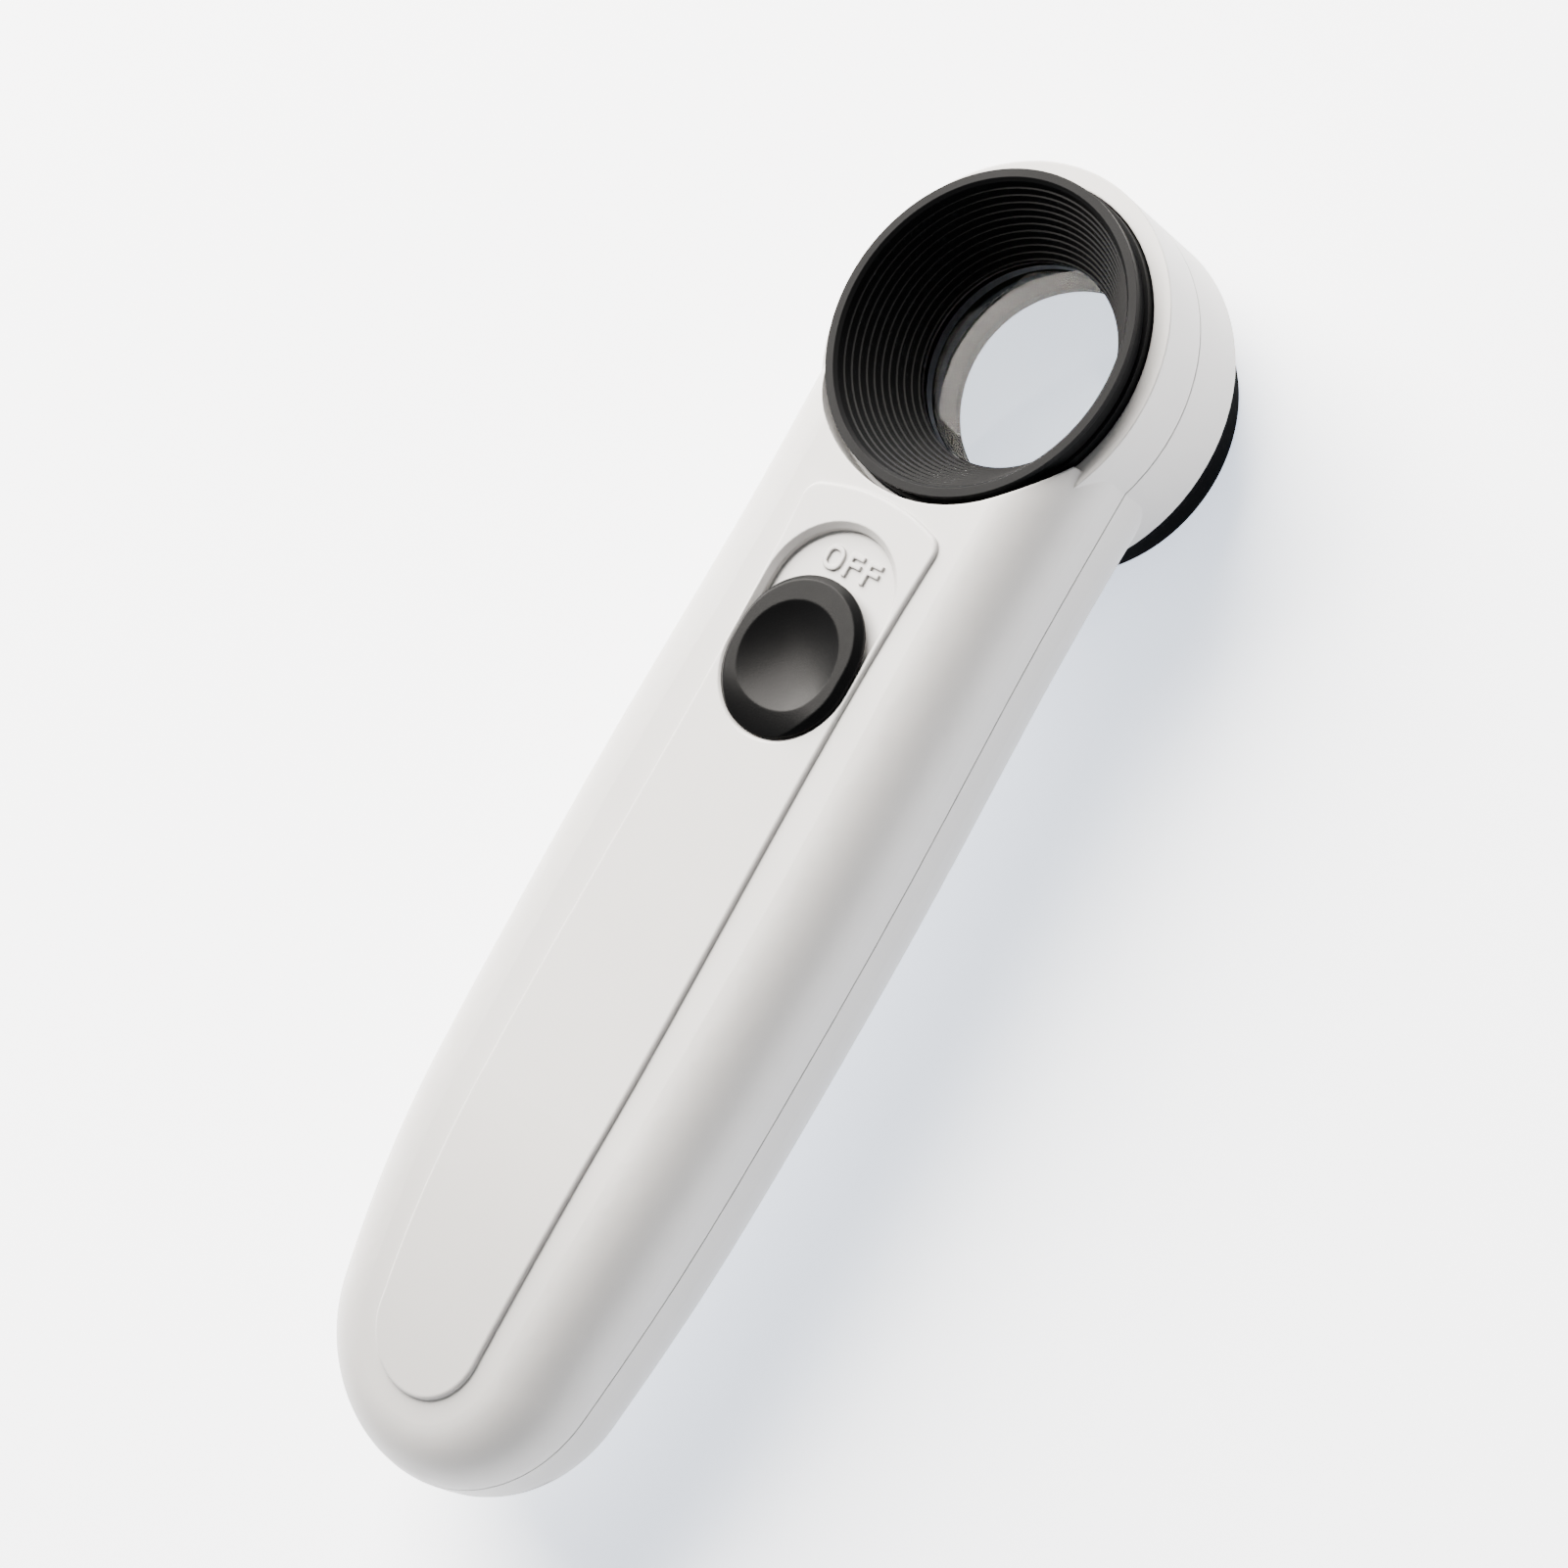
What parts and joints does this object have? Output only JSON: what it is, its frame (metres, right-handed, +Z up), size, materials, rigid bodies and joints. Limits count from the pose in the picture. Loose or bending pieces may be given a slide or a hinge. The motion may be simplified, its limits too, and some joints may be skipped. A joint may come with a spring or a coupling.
{
  "type": "low vision magnifier",
  "caption": "Handheld illuminated low vision magnifier: round eyepiece head with a screw-focus barrel on a battery handle with a slide switch.",
  "frame": {"origin": "on the optical axis, in the plane of the focus ring's open rim (the lowest face, which is set over the thing being looked at)", "axes": "+Z along the optical axis towards the eye, +X from the handle's tail to the crown of the head, +Y to the left when looking along +X with +Z up"},
  "size_m": [0.123, 0.033, 0.0225],
  "materials": {
    "white_shell": "satin moulded ABS",
    "black_plastic": "fine matt moulded",
    "ring_plastic": "satin moulded",
    "button_plastic": "semi-gloss moulded",
    "slider_plastic": "natural moulded",
    "lens_glass": "polished",
    "seal_rubber": "matt",
    "circuit_board": "solder-mask lacquer",
    "board_black": "black solder-mask lacquer",
    "led_body": "clear encapsulant",
    "resistor_body": "matt ceramic",
    "spring_metal": "nickel plated",
    "copper_pad": "tinned copper",
    "cell_can": "printed film",
    "red_insulation": "extruded PVC",
    "black_insulation": "extruded PVC",
    "screw_steel": "zinc plated"
  },
  "bodies": {
    "handle": {"front_shell": "white_shell", "rear_shell": "white_shell", "eyepiece": "black_plastic", "upper_lens": "lens_glass", "lens_spacer": "black_plastic", "lower_lens": "lens_glass", "lens_retaining_ring": "black_plastic", "led_board": "board_black", "led_left": "led_body", "led_right": "led_body", "switch_board": "circuit_board", "switch_pads": "copper_pad", "resistor": "resistor_body", "battery_left": "cell_can", "battery_right": "cell_can", "positive_contact": "spring_metal", "negative_contact": "spring_metal", "bridge_contact": "spring_metal", "red_wire": "red_insulation", "black_wire": "black_insulation", "shell_screws": "screw_steel"},
    "switch": {"switch_button": "button_plastic", "switch_slider": "slider_plastic", "slide_contact": "spring_metal"},
    "cover": {"battery_cover": "white_shell"},
    "focus_travel": {"focus_oring": "seal_rubber"},
    "focus_turn": {"focus_ring": "ring_plastic"}
  },
  "joints": [
    {"name": "focus_travel", "type": "slide", "parent": "handle", "child": "focus_travel", "axis": [0, 0, -1], "range_m": [-0.0006, 0.0018]},
    {"name": "focus_turn", "type": "hinge", "parent": "focus_travel", "child": "focus_turn", "pos_m": [0, 0, 0.003], "axis": [0, 0, -1], "range_deg": [-90, 270]},
    {"name": "switch_slide", "type": "slide", "parent": "handle", "child": "switch", "axis": [1, 0, 0], "range_m": [0, 0.0048]},
    {"name": "cover_slide", "type": "slide", "parent": "handle", "child": "cover", "axis": [-1, 0, 0], "range_m": [0, 0.046]}
  ],
  "couplings": [
    {"joint": "focus_travel", "follows": "focus_turn", "m_per_rad": 0.00038197}
  ]
}
